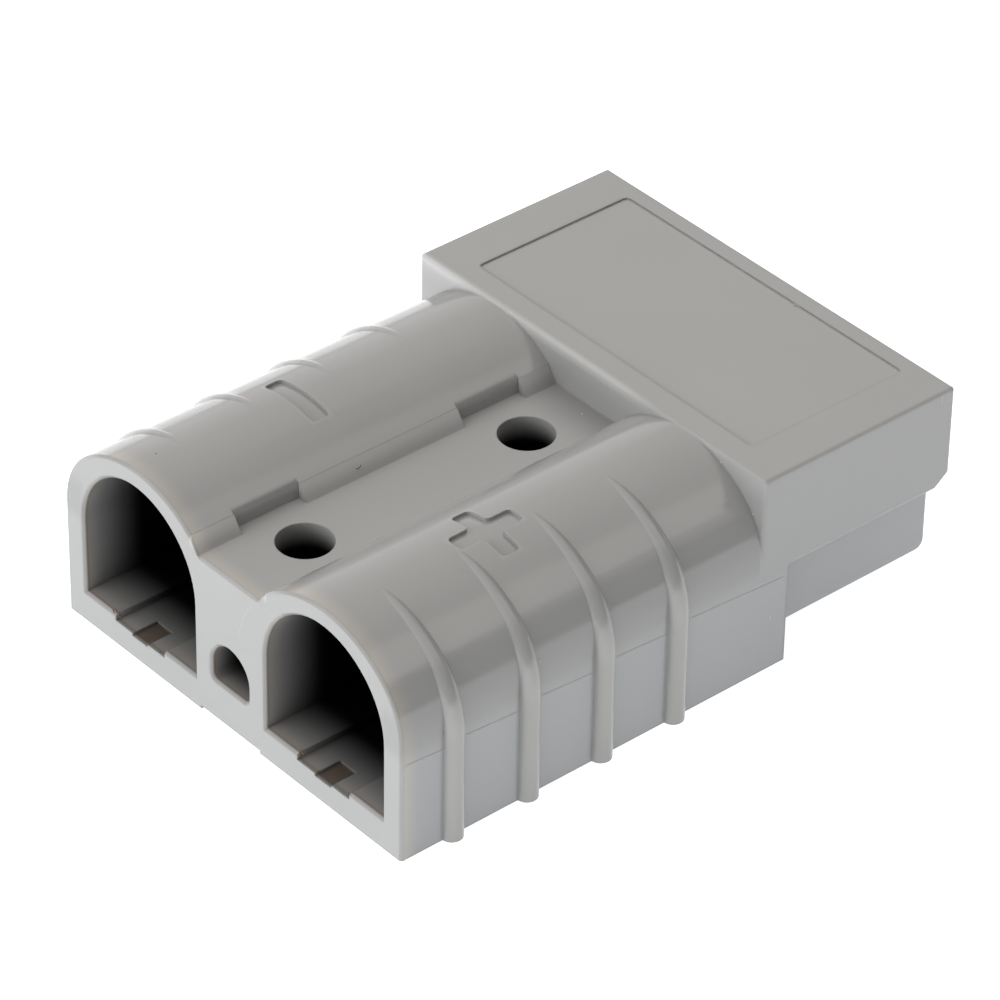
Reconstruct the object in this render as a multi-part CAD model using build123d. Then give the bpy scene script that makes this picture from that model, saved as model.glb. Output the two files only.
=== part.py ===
from build123d import *
from math import atan2, cos, degrees, radians
import os

# Empty housing of a two-pole 50 A cable connector, moulded in one piece, with the two leaf
# springs that such a housing carries for its contacts. The housing mates with a second one
# like itself that is turned over about its long axis, so its front end is split at half
# height: above is a hood with two cavities, below are two noses that fill a mate's cavities.
# All lengths are in millimetres. X runs across the two barrels, with the positive barrel on
# +X, Y runs from the cable entries to the mating end, and Z is up. The origin is under the
# middle of the housing, on the plane that it rests on. A distance "ahead" is measured along
# +Y from the rear face, where the cables go in.

# Overall housing
overall_length = 48.0
body_width = 35.0
overall_height = 15.7

# Barrels around the two cables: upright sides, tight shoulders and a flatter crown
barrel_gap = 3.6
crown_drop = 0.05
crown_rise = 6.6
shoulder_radius = 5.9
rear_edge_chamfer = 0.15

# Cable tunnels: flat floor, upright sides, round roof
tunnel_side_wall = 1.9
tunnel_roof_wall = 1.45
tunnel_floor = 2.4
entry_rim_chamfer = 0.2

# Contact stop ahead of each tunnel, with an opening for the blade of the contact
stop_thickness = 1.8
blade_width = 9.4
blade_clearance = 0.1
blade_opening_height = 7.0

# Web between the barrels, its fixing screws and the pocket in its rear end
web_below_crown = 3.15
web_flat_width = 6.3
web_relief_depth = 0.25
web_relief_width = 6.2
screw_hole_diameter = 4.0
screw_head_clearance = 8.0
first_screw_ahead = 6.4
last_screw_behind_hood = 5.4
head_notch_length = 5.4
head_notch_round = 1.0
pocket_width = 3.8
pocket_floor = 3.3
pocket_roof = 6.6
pocket_depth = 3.4
pocket_corner_radius = 0.5

# Grip ribs on the outer sides
rib_count = 4
rib_radius = 0.8
rib_proud = 0.75
first_rib_ahead = 4.28
last_rib_behind_hood = 7.44
rib_bend_below_shoulder = 0.65
rib_start_offset = 0.35

# Hood and noses of the mating end
hood_length = 17.2
hood_wall = 1.5
hood_edge_radius = 0.2
hood_corner_cut_length = 1.2
hood_corner_cut_height = 0.9
mating_length = 14.7
mating_clearance = 0.1
divider_width = 6.6
nose_setback = 0.2
nose_front_wall = 1.3
nose_front_radius = 0.8
nose_edge_radius = 0.3

# Bare name panel on the hood
panel_side_margin = 3.65
panel_rear_margin = 2.1
panel_front_margin = 1.4
panel_depth = 0.12
panel_corner_radius = 0.4

# Polarity marks sunk into the crowns
mark_ahead = 13.5
mark_span = 5.3
mark_stroke = 1.45
mark_depth = 0.25
mark_corner_radius = 0.4

# Leaf springs, and what holds them in the tunnel floors
spring_width = 5.0
spring_thickness = 0.5
spring_side_clearance = 0.15
spring_tail_behind_nib = 4.0
spring_bend_behind_shoulder = 3.3
spring_crest_behind_front = 6.0
spring_crest_height = 6.3
spring_tip_behind_front = 2.7
spring_tip_height = 3.6
spring_bend_radius = 8.0
spring_crest_radius = 2.0
keeper_behind_stop = 7.5
keeper_length = 2.5
keeper_thickness = 0.8
keeper_seat = 0.8
nib_behind_keeper = 7.0
nib_length = 2.0
nib_width = 1.6
nib_rise = 0.3
nib_clearance = 0.1
mouth_recess_width = 1.65
mouth_recess_length = 2.1
mouth_recess_depth = 0.2

# Places that follow from the sizes above
rear = -overall_length / 2
half_width = body_width / 2
mating_height = overall_height / 2
barrel_half_width = (half_width - barrel_gap / 2) / 2
barrel_offset = half_width - barrel_half_width
crown_height = overall_height - crown_drop
barrel_side_height = crown_height - crown_rise
hood_ahead = overall_length - hood_length
shoulder_ahead = overall_length - mating_length
tunnel_width = 2 * (barrel_half_width - tunnel_side_wall)
tunnel_roof = crown_height - tunnel_roof_wall
tunnel_length = shoulder_ahead - stop_thickness
web_top = crown_height - web_below_crown
notch_half_width = screw_head_clearance / 2
screws_ahead = [first_screw_ahead, hood_ahead - last_screw_behind_hood]
last_rib_ahead = hood_ahead - last_rib_behind_hood
rib_pitch = (last_rib_ahead - first_rib_ahead) / (rib_count - 1)
rib_side_height = barrel_side_height - rib_bend_below_shoulder
nose_inset = hood_wall + mating_clearance
blade_opening_width = blade_width + 2 * blade_clearance
channel_width = spring_width + 2 * spring_side_clearance
channel_floor = tunnel_floor - spring_thickness
keeper_ahead = tunnel_length - keeper_behind_stop
nib_ahead = keeper_ahead - nib_behind_keeper

# How far cutters run past what they cut, and how close an edge must be to count as in a plane
overrun = 1.0
plane_tolerance = 0.001


def block(x_range, ahead_range, z_range):
    """Box between two values on each axis, with y given as distances ahead of the rear face."""
    sizes = [high - low for low, high in (x_range, ahead_range, z_range)]
    x, ahead, z = [(low + high) / 2 for low, high in (x_range, ahead_range, z_range)]
    return Pos(x, rear + ahead, z) * Box(*sizes)


def prism(section, start, length):
    """Solid of a section (x across, y up) that begins start mm ahead of the rear face."""
    end_plane = Plane(origin=(0, rear + start + length, 0), x_dir=(1, 0, 0), z_dir=(0, -1, 0))
    return extrude(end_plane * section, amount=length)


def side_plate(outline, centre, width):
    """Solid of an outline in (distance ahead, height), as wide as given, centred on x."""
    plane = Plane(origin=(centre - width / 2, rear, 0), x_dir=(0, 1, 0), z_dir=(1, 0, 0))
    return extrude(plane * outline, amount=width)


def both_sides(shape):
    """The shape and its mirror image on the other side of the middle."""
    return shape + mirror(shape, about=Plane.YZ)


def edges_ahead(shape, distance):
    """Edges that lie flat in the plane at this distance ahead of the rear face."""
    place = rear + distance
    return shape.edges().filter_by_position(
        Axis.Y, place - plane_tolerance, place + plane_tolerance
    )


def arched_section(width, floor, roof):
    """Opening with a flat floor, upright sides and a round roof, centred on x = 0."""
    radius = width / 2
    spring_line = roof - radius
    walls = Polyline((-radius, spring_line), (-radius, floor), (radius, floor), (radius, spring_line))
    arch = CenterArc((0, spring_line), radius, 0, 180)
    return make_face(walls.edges() + arch.edges())


def crown_arc(half_span, rise, bend_radius):
    """Radius of the arc over two bends that end upright, and the angle where it meets them."""
    reach = half_span - bend_radius
    radius = (reach**2 + rise**2 - bend_radius**2) / (2 * (rise - bend_radius))
    return radius, degrees(atan2(radius - rise, reach))


def barrel_section(inset=0.0):
    """Outside of one barrel: upright sides, two shoulders and the crown between them."""
    radius, angle = crown_arc(barrel_half_width, crown_rise, shoulder_radius)
    reach = barrel_half_width - shoulder_radius
    side = barrel_half_width - inset
    foot = -barrel_side_height
    edges = Polyline((-side, 0), (-side, foot), (side, foot), (side, 0)).edges()
    edges += CenterArc((reach, 0), shoulder_radius - inset, 0, angle).edges()
    edges += CenterArc((0, crown_rise - radius), radius - inset, angle, 180 - 2 * angle).edges()
    edges += CenterArc((-reach, 0), shoulder_radius - inset, 180 - angle, angle).edges()
    return Pos(barrel_offset, barrel_side_height) * make_face(edges)


def barrel_surface(x):
    """Height of the barrel's surface at this distance from the middle."""
    radius, angle = crown_arc(barrel_half_width, crown_rise, shoulder_radius)
    reach = barrel_half_width - shoulder_radius
    across = abs(x - barrel_offset)
    if across < radius * cos(radians(angle)):
        return crown_height - radius + (radius**2 - across**2) ** 0.5
    return barrel_side_height + (shoulder_radius**2 - (across - reach) ** 2) ** 0.5


def inner_edges(face):
    """Edges around every opening inside this face."""
    return [edge for wire in face.inner_wires() for edge in wire.edges()]


def barrel(mark):
    """Barrel on the positive side with this mark sunk into its crown, floor and all."""
    solid = prism(barrel_section(), 0, shoulder_ahead)
    above_foot = edges_ahead(solid, 0).sort_by(Axis.Z)[1:]
    solid = chamfer(above_foot, rear_edge_chamfer)
    place = Pos(barrel_offset, rear + mark_ahead, barrel_side_height)
    cutter = extrude(place * mark, amount=overall_height)
    return solid - (cutter - prism(barrel_section(mark_depth), 0, shoulder_ahead))


def barrels():
    """Both barrels, the one on the positive side with a plus and the other with a minus."""
    minus = Rectangle(mark_span, mark_stroke)
    plus = minus + Rectangle(mark_stroke, mark_span)
    plus, minus = [fillet(mark.vertices(), mark_corner_radius) for mark in (plus, minus)]
    return barrel(plus) + mirror(barrel(minus), about=Plane.YZ)


def web():
    """Block between the barrels, up to the level of the screw heads."""
    plate = block((-barrel_offset, barrel_offset), (0, shoulder_ahead), (0, web_top))
    top_edge = edges_ahead(plate, 0).sort_by(Axis.Z)[-1]
    return chamfer(top_edge, rear_edge_chamfer)


def valley():
    """Clears the space over the web and leaves a flat strip at the foot of each barrel."""
    foot = web_flat_width / 2
    strip_top = barrel_surface(notch_half_width)
    above = overall_height + overrun
    outline = Polyline(
        (-foot, web_top),
        (foot, web_top),
        (notch_half_width, strip_top),
        (notch_half_width, above),
        (-notch_half_width, above),
        (-notch_half_width, strip_top),
        close=True,
    )
    return prism(make_face(outline), -overrun, hood_ahead + overrun)


def head_notch():
    """Room for a screw head where it would foul the strip beside one barrel."""
    wall = barrel_section() & Pos(notch_half_width + body_width / 2, 0) * Rectangle(
        body_width, 2 * overall_height
    )
    brow = wall.vertices().sort_by_distance((notch_half_width, barrel_surface(notch_half_width)))[0]
    kept = prism(fillet(brow, head_notch_round), -head_notch_length, 2 * head_notch_length)
    ahead_range = (-head_notch_length / 2, head_notch_length / 2)
    return block((0, barrel_offset), ahead_range, (web_top, overall_height)) - kept


def hood():
    """Hood block with its lower front corner cut off and softened edges."""
    outline = Polyline(
        (hood_ahead, mating_height),
        (overall_length - hood_corner_cut_length, mating_height),
        (overall_length, mating_height + hood_corner_cut_height),
        (overall_length, overall_height),
        (hood_ahead, overall_height),
        close=True,
    )
    solid = side_plate(make_face(outline), 0, body_width)
    return fillet(solid.edges(), hood_edge_radius)


def hood_cavity():
    """Room for one nose of the mate, on the positive side."""
    x_range = (divider_width / 2, half_width - hood_wall)
    ahead_range = (shoulder_ahead, overall_length + overrun)
    return block(x_range, ahead_range, (mating_height - overrun, overall_height - hood_wall))


def nose():
    """Tray under one hood cavity that the spring works in, on the positive side."""
    inner = divider_width / 2 + mating_clearance
    outer = half_width - nose_inset
    tip = overall_length - nose_setback
    top = mating_height - mating_clearance
    solid = block((inner, outer), (shoulder_ahead - overrun, tip), (nose_inset, top))
    underside = solid.edges().filter_by(Axis.X).group_by(Axis.Z)[0].sort_by(Axis.Y)[-1]
    solid = fillet(underside, nose_front_radius)
    upright = solid.edges().filter_by(Axis.Z).group_by(Axis.Y)[-1]
    return fillet(upright, nose_edge_radius)


def nose_hollow():
    """Room over the spring inside one nose, and the blade opening behind it."""
    x_range = (
        barrel_offset - blade_opening_width / 2,
        barrel_offset + blade_opening_width / 2,
    )
    tip = overall_length - nose_setback - nose_front_wall
    tray = block(x_range, (shoulder_ahead, tip), (tunnel_floor, mating_height))
    opening = block(
        x_range,
        (tunnel_length - overrun, shoulder_ahead),
        (tunnel_floor, tunnel_floor + blade_opening_height),
    )
    return tray + opening


def grip_rib(ahead):
    """Half-round rib that grows out of the crown and runs down the side of one barrel."""
    side = half_width + rib_proud - rib_radius
    start = barrel_offset + rib_start_offset
    rise = barrel_surface(start) - rib_radius - rib_side_height
    bend_radius = shoulder_radius + rib_proud - rib_radius
    radius, angle = crown_arc(side - start, rise, bend_radius)
    plane = Plane(origin=(0, rear + ahead, 0), x_dir=(1, 0, 0), z_dir=(0, -1, 0))
    upright = Line((side, -overrun), (side, rib_side_height))
    bend = CenterArc((side - bend_radius, rib_side_height), bend_radius, 0, angle)
    crown = CenterArc((start, rib_side_height + rise - radius), radius, angle, 90 - angle)
    path = plane * Wire(upright.edges() + bend.edges() + crown.edges())
    section = Plane(origin=path @ 0, z_dir=path % 0) * Circle(rib_radius)
    rib = sweep(section, path=path)
    return rib - block((0, body_width), (0, overall_length), (-2 * overrun, 0))


def name_panel():
    """Shallow bare recess on top of the hood."""
    width = body_width - 2 * panel_side_margin
    length = hood_length - panel_rear_margin - panel_front_margin
    centre = rear + hood_ahead + panel_rear_margin + length / 2
    outline = RectangleRounded(width, length, panel_corner_radius)
    return extrude(Pos(0, centre, overall_height - panel_depth) * outline, amount=overrun)


def spring_bed():
    """Channel in one tunnel floor for the spring, and the small recess at its mouth."""
    half = channel_width / 2
    channel = block(
        (barrel_offset - half, barrel_offset + half),
        (-overrun, shoulder_ahead),
        (channel_floor, tunnel_floor + overrun),
    )
    recess_half = mouth_recess_width / 2
    recess = block(
        (barrel_offset - recess_half, barrel_offset + recess_half),
        (-overrun, mouth_recess_length),
        (channel_floor - mouth_recess_depth, channel_floor + overrun),
    )
    return channel + recess


def spring_keeper():
    """Bridge over one spring, and the nib that its tail hooks on."""
    half = channel_width / 2 + keeper_seat
    bridge = block(
        (barrel_offset - half, barrel_offset + half),
        (keeper_ahead, keeper_ahead + keeper_length),
        (tunnel_floor, tunnel_floor + keeper_thickness),
    )
    nib = block(
        (barrel_offset - nib_width / 2, barrel_offset + nib_width / 2),
        (nib_ahead, nib_ahead + nib_length),
        (channel_floor - mouth_recess_depth, tunnel_floor + nib_rise),
    )
    return bridge + nib


def screw_holes():
    """Two upright holes through the web."""
    height = web_top + overrun
    hole = Pos(0, rear, height / 2) * Cylinder(screw_hole_diameter / 2, height + overrun)
    return [Pos(0, ahead, 0) * hole for ahead in screws_ahead]


def tunnel():
    """Passage for one cable, from its entry to the contact stop."""
    section = arched_section(tunnel_width, tunnel_floor, tunnel_roof)
    return prism(Pos(barrel_offset, 0) * section, -overrun, tunnel_length + overrun)


def web_pocket():
    """Blind pocket in the rear end of the web."""
    section = arched_section(pocket_width, pocket_floor, pocket_roof)
    lower_corners = section.vertices().group_by(Axis.Y)[0]
    return prism(fillet(lower_corners, pocket_corner_radius), -overrun, pocket_depth + overrun)


def web_relief():
    """Shallow recess under the web, so that the housing rests on the barrels."""
    half = web_relief_width / 2
    return block((-half, half), (-overrun, shoulder_ahead), (-overrun, web_relief_depth))


def moulding_outside():
    """Barrels, web, ribs, noses and the hood with cavities and panel, before the passages."""
    ribs = [grip_rib(first_rib_ahead + i * rib_pitch) for i in range(rib_count)]
    body = barrels() + web() - valley()
    body -= [Pos(0, ahead, 0) * both_sides(head_notch()) for ahead in screws_ahead]
    body += [both_sides(rib) for rib in ribs]
    return body + (hood() - both_sides(hood_cavity())) + both_sides(nose()) - name_panel()


def housing():
    """The whole one-piece moulding."""
    body = moulding_outside() - both_sides(tunnel()) - web_pocket()
    rear_face = body.faces().sort_by(Axis.Y)[0]
    body = chamfer(inner_edges(rear_face), entry_rim_chamfer)
    body -= both_sides(nose_hollow())
    body -= both_sides(spring_bed()) + web_relief()
    return body - screw_holes() + both_sides(spring_keeper())


def spring():
    """Leaf spring of the positive pole: tail in the channel, crest in the nose, tip down."""
    flat = channel_floor + spring_thickness / 2
    route = FilletPolyline(
        (nib_ahead - spring_tail_behind_nib, flat),
        (shoulder_ahead - spring_bend_behind_shoulder, flat),
        (overall_length - spring_crest_behind_front, spring_crest_height),
        (overall_length - spring_tip_behind_front, spring_tip_height),
        radius=[spring_bend_radius, spring_crest_radius],
    )
    side_view = Plane(origin=(barrel_offset, rear, 0), x_dir=(0, 1, 0), z_dir=(1, 0, 0))
    path = side_view * route
    tail = Plane(origin=path @ 0, x_dir=(1, 0, 0), z_dir=path % 0)
    strip = sweep(tail * Rectangle(spring_width, spring_thickness), path=path)
    half_hole = nib_width / 2 + nib_clearance
    hole = block(
        (barrel_offset - half_hole, barrel_offset + half_hole),
        (nib_ahead - nib_clearance, nib_ahead + nib_length + nib_clearance),
        (channel_floor - overrun, tunnel_floor + overrun),
    )
    return strip - hole


parts = {
    "housing": housing(),
    "positive_spring": spring(),
    "negative_spring": mirror(spring(), about=Plane.YZ),
}

os.makedirs("parts", exist_ok=True)
for name, solid in parts.items():
    export_step(solid, f"parts/{name}.step")
    print(name, len(solid.solids()), round(solid.volume, 2), solid.bounding_box())
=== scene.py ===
import logging
from dataclasses import dataclass
from enum import Enum
from functools import reduce
from math import atan2, cos, pi, radians, sin

import bmesh
import bpy
from mathutils import Euler, Matrix, Vector


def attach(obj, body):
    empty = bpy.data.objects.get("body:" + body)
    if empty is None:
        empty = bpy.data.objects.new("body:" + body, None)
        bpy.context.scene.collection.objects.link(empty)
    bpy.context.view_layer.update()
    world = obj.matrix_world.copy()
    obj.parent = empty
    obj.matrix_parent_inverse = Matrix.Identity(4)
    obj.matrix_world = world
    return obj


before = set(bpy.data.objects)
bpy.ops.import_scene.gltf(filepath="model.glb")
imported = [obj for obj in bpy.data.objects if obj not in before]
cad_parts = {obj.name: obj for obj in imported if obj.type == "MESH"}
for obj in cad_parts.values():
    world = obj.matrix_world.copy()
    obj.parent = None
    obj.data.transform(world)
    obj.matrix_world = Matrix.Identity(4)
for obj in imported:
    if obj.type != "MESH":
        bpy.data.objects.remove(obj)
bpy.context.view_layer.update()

log = logging.getLogger("housing_scene")
Point = tuple[float, float, float]
Colour = tuple[float, float, float]
Span = tuple[float, float]
Socket = bpy.types.NodeSocket

MM = 0.001
# Outer side of the barrels, rear face of the housing and rear face of its hood.
SIDE = 17.5 * MM
REAR_FACE = -24.0 * MM
HOOD_REAR = 6.8 * MM
# Width over which one tone of the moulding passes into the next.
SOFT_EDGE = 0.1 * MM
WHITE = (1.0, 1.0, 1.0)
# Range that most values of a noise lie in.
NOISE_RANGE = (0.3, 0.7)


class Slot(Enum):
    """Names of two material slots of the record."""

    MOULDING = "grey_moulding"
    SPRING = "spring_strip"


class Graph:
    """Thin helper that adds and wires the nodes of one material or world."""

    def __init__(self, owner: bpy.types.Material | bpy.types.World) -> None:
        """Clears the owner's nodes and keeps its tree.

        Args:
            owner: material or world whose node tree is filled.
        """
        owner.use_nodes = True
        self.tree = owner.node_tree
        self.tree.nodes.clear()

    def add(
        self, kind: str, values: dict[str | int, object] | None = None, **settings: object
    ) -> bpy.types.Node:
        """Adds one node.

        Args:
            kind: Blender's node type name.
            values: input socket to a number, a colour or another node's output.
            settings: attributes set on the node itself.

        Returns:
            The new node.
        """
        node = self.tree.nodes.new(kind)
        for name, value in settings.items():
            setattr(node, name, value)
        for key, value in (values or {}).items():
            self.feed(node.inputs[key], value)
        return node

    def feed(self, socket: Socket, value: object) -> None:
        """Links an output to the socket, or sets the socket's own value.

        Args:
            socket: input of a node.
            value: number, colour or another node's output.
        """
        if isinstance(value, Socket):
            self.tree.links.new(value, socket)
        else:
            socket.default_value = value

    def math(self, operation: str, *values: object) -> Socket:
        """Output of a Math node with these inputs."""
        return self.add("ShaderNodeMath", dict(enumerate(values)), operation=operation).outputs[0]

    def product(self, *values: object) -> Socket:
        """All the values multiplied together."""
        return reduce(lambda first, second: self.math("MULTIPLY", first, second), values)

    def length(self, across: object, along: object) -> Socket:
        """Length of the line with these two sides."""
        squares = [self.math("MULTIPLY", side, side) for side in (across, along)]
        return self.math("SQRT", self.math("ADD", *squares))

    def changed(self, share: object, change: object) -> Socket:
        """One where the share is zero, and one plus the change where it is one."""
        return self.math("ADD", self.math("MULTIPLY", share, change), 1.0)

    def noise(self, where: Socket, scale: float, detail: float = 2.0) -> Socket:
        """Grey noise of a scale given in features per metre."""
        values = {"Vector": where, "Scale": scale, "Detail": detail}
        return self.add("ShaderNodeTexNoise", values).outputs[0]

    def ramp(
        self, value: object, low: float, high: float, start: float = 0.0, end: float = 1.0
    ) -> Socket:
        """Maps a value smoothly and clamped from low..high to start..end.

        Args:
            value: number or output to map.
            low: value that gives the start.
            high: value that gives the end.
            start: result up to low.
            end: result from high on.

        Returns:
            The mapped value.
        """
        limits = {"Value": value, "From Min": low, "From Max": high, "To Min": start, "To Max": end}
        return self.add("ShaderNodeMapRange", limits, interpolation_type="SMOOTHSTEP").outputs[0]

    def fall(self, value: object, low: float, high: float) -> Socket:
        """One up to low, falling smoothly to zero at high."""
        return self.ramp(value, low, high, 1.0, 0.0)

    def blend(self, share: object, first: object, second: object) -> Socket:
        """Mixes two colours.

        Args:
            share: zero for the first colour, one for the second.
            first: colour with opacity, or an output.
            second: colour with opacity, or an output.

        Returns:
            The mixed colour.
        """
        node = self.add("ShaderNodeMix", data_type="RGBA")
        # The sockets for colours stand behind those for numbers and vectors.
        for index, value in ((0, share), (6, first), (7, second)):
            self.feed(node.inputs[index], value)
        return node.outputs[2]

    def scaled(self, colour: object, factor: object) -> Socket:
        """The colour times a number."""
        return self.add("ShaderNodeVectorMath", {0: colour, "Scale": factor}, operation="SCALE").outputs[0]

    def object_place(self) -> Socket:
        """Position of the shaded point in the part's own frame."""
        return self.add("ShaderNodeTexCoord").outputs["Object"]

    def surface(self, values: dict[str, object]) -> None:
        """Adds the surface shader with these inputs, and the material's output."""
        shader = self.add("ShaderNodeBsdfPrincipled", values)
        self.add("ShaderNodeOutputMaterial", {0: shader.outputs[0]})


class PlacedGraph(Graph):
    """Nodes of a material whose look depends on the place on the part."""

    def __init__(self, owner: bpy.types.Material) -> None:
        """Adds the nodes that read the place.

        Args:
            owner: material whose node tree is filled.
        """
        super().__init__(owner)
        self.where = self.object_place()
        self.x, self.y, self.z = self.add("ShaderNodeSeparateXYZ", {0: self.where}).outputs


def rgba(colour: Colour) -> tuple[float, float, float, float]:
    """The colour with full opacity."""
    return (*colour, 1.0)


@dataclass(frozen=True)
class Bores:
    """Places of the moulding's openings, read as masks that are one inside them and zero outside.

    Each opening is masked with some of the wall around it, so that its softened rim counts too.
    """

    barrel_offset: float = 9.65 * MM
    tunnel_radius: float = 5.95 * MM
    tunnel_spring_line: float = 8.25 * MM
    tunnel_floor: float = 2.4 * MM
    tunnel_end: float = 7.5 * MM
    lowest_channel: float = 1.5 * MM
    pocket_radius: float = 1.9 * MM
    pocket_spring_line: float = 4.7 * MM
    pocket_floor: float = 3.3 * MM
    pocket_end: float = -20.5 * MM
    hole_radius: float = 2.0 * MM
    hole_places: Span = (-17.6 * MM, 1.4 * MM)
    web_top: float = 12.5 * MM
    recess_half_width: float = 0.66 * MM
    recess_top: float = 1.8 * MM
    recess_end: float = -22.0 * MM
    recess_softness: float = 0.38 * MM
    face_skin: float = 0.01 * MM
    face_depth: float = 0.35 * MM
    margin: float = 0.24 * MM
    softness: float = 0.04 * MM

    def below(self, graph: Graph, value: object, limit: float, softness: float | None = None) -> Socket:
        """One where the value is under the limit, zero once it is over it by the softness."""
        return graph.fall(value, limit, limit + (softness or self.softness))

    def arched(
        self, graph: Graph, across: object, height: object, radius: float, spring_line: float, floor: float
    ) -> Socket:
        """Mask of an opening with upright sides and a round roof.

        Args:
            graph: the material's nodes.
            across: distance from the opening's middle.
            height: height above the table.
            radius: half the opening's width.
            spring_line: height where its roof begins.
            floor: height of its lowest place.

        Returns:
            One inside the opening and on its rim.
        """
        over = graph.math("MAXIMUM", graph.math("SUBTRACT", height, spring_line), 0.0)
        within = self.below(graph, graph.length(across, over), radius + self.margin)
        return graph.product(within, graph.ramp(height, floor - self.softness, floor))

    def tunnel_middle(self, graph: PlacedGraph) -> Socket:
        """Distance from the middle of the nearer tunnel, across it."""
        aside = graph.math("SUBTRACT", graph.math("ABSOLUTE", graph.x), self.barrel_offset)
        return graph.math("ABSOLUTE", aside)

    def tunnels(self, graph: PlacedGraph) -> Socket:
        """Mask of both cable tunnels.

        Args:
            graph: the material's nodes.

        Returns:
            One inside the tunnels and on their rims.
        """
        across = self.tunnel_middle(graph)
        radius, spring_line = self.tunnel_radius, self.tunnel_spring_line
        opening = self.arched(graph, across, graph.z, radius, spring_line, self.lowest_channel)
        return graph.product(opening, self.below(graph, graph.y, self.tunnel_end))

    def pocket(self, graph: PlacedGraph) -> Socket:
        """Mask of the blind pocket in the rear end of the web.

        Args:
            graph: the material's nodes.

        Returns:
            One inside the pocket and on its rim.
        """
        across = graph.math("ABSOLUTE", graph.x)
        floor = self.pocket_floor - self.margin
        opening = self.arched(graph, across, graph.z, self.pocket_radius, self.pocket_spring_line, floor)
        return graph.product(opening, self.below(graph, graph.y, self.pocket_end))

    def recesses(self, graph: PlacedGraph) -> Socket:
        """Mask of the small recess at the mouth of each spring channel.

        Args:
            graph: the material's nodes.

        Returns:
            One inside the recesses, with soft edges across and ahead.
        """
        within = self.below(graph, self.tunnel_middle(graph), self.recess_half_width, self.recess_softness)
        low = self.below(graph, graph.z, self.recess_top)
        behind = self.below(graph, graph.y, self.recess_end, self.recess_softness)
        return graph.product(within, low, behind)

    def holes(self, graph: PlacedGraph) -> Socket:
        """Mask of both screw holes.

        Args:
            graph: the material's nodes.

        Returns:
            One inside the holes, up to just under the web's top.
        """
        masks = []
        for centre in self.hole_places:
            away = graph.length(graph.x, graph.math("SUBTRACT", graph.y, centre))
            masks.append(self.below(graph, away, self.hole_radius + self.softness))
        under_web = self.below(graph, graph.z, self.web_top - 2 * self.softness)
        return graph.product(graph.math("MAXIMUM", *masks), under_web)

    def past_face(self, graph: PlacedGraph) -> Socket:
        """Zero on the rear face itself, one from a little way ahead of it."""
        return graph.ramp(graph.y, REAR_FACE + self.face_skin, REAR_FACE + self.face_depth)


@dataclass(frozen=True)
class BoreShades:
    """Painted shade that darkens the bores with depth, and how brown the rims of the rear ones are."""

    bores: Bores = Bores()
    # The fades, mouths and floor values below set the painted shade inside the bores.
    tunnel_fade: float = 5.1 * MM
    tunnel_mouth: float = 0.25
    floor_rise: float = 0.3 * MM
    floor_painted_shade: float = 0.27
    pocket_fade: float = 2.6 * MM
    pocket_mouth: float = 0.36
    hole_fade: float = 2.1 * MM
    hole_mouth: float = 0.12
    rim: Span = (0.15 * MM, 0.45 * MM)
    rim_brown: float = 0.7
    recess_brown: float = 0.9

    def painted_depth_shade(self, graph: PlacedGraph) -> Socket:
        """Painted shade: how far the colour is darkened inside the bores.

        Args:
            graph: the material's nodes.

        Returns:
            Zero outside the bores, one deep inside them.
        """
        bores = self.bores
        floor = bores.tunnel_floor
        inward = graph.ramp(graph.y, REAR_FACE, REAR_FACE + self.tunnel_fade, self.tunnel_mouth, 1.0)
        low = graph.ramp(graph.z, floor, floor + self.floor_rise, self.floor_painted_shade, 0.0)
        tunnel = graph.product(bores.tunnels(graph), graph.math("MAXIMUM", inward, low))
        shallow = graph.ramp(graph.y, REAR_FACE, REAR_FACE + self.pocket_fade, self.pocket_mouth, 1.0)
        pocket = graph.product(bores.pocket(graph), shallow)
        rear_openings = graph.product(graph.math("MAXIMUM", tunnel, pocket), bores.past_face(graph))
        down = graph.ramp(graph.z, bores.web_top - self.hole_fade, bores.web_top, 1.0, self.hole_mouth)
        return graph.math("MAXIMUM", rear_openings, graph.product(bores.holes(graph), down))

    def brown(self, graph: PlacedGraph) -> Socket:
        """How brown the rims of the rear openings and the recesses behind them are.

        Args:
            graph: the material's nodes.

        Returns:
            Zero for the moulding's grey, one for full brown.
        """
        start, end = self.rim
        fall = graph.ramp(graph.y, REAR_FACE + start, REAR_FACE + end, self.rim_brown, 0.0)
        openings = graph.math("MAXIMUM", self.bores.tunnels(graph), self.bores.pocket(graph))
        recess = graph.product(self.bores.recesses(graph), self.recess_brown)
        stained = graph.math("MAXIMUM", graph.product(openings, fall), recess)
        return graph.product(stained, self.bores.past_face(graph))


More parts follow.
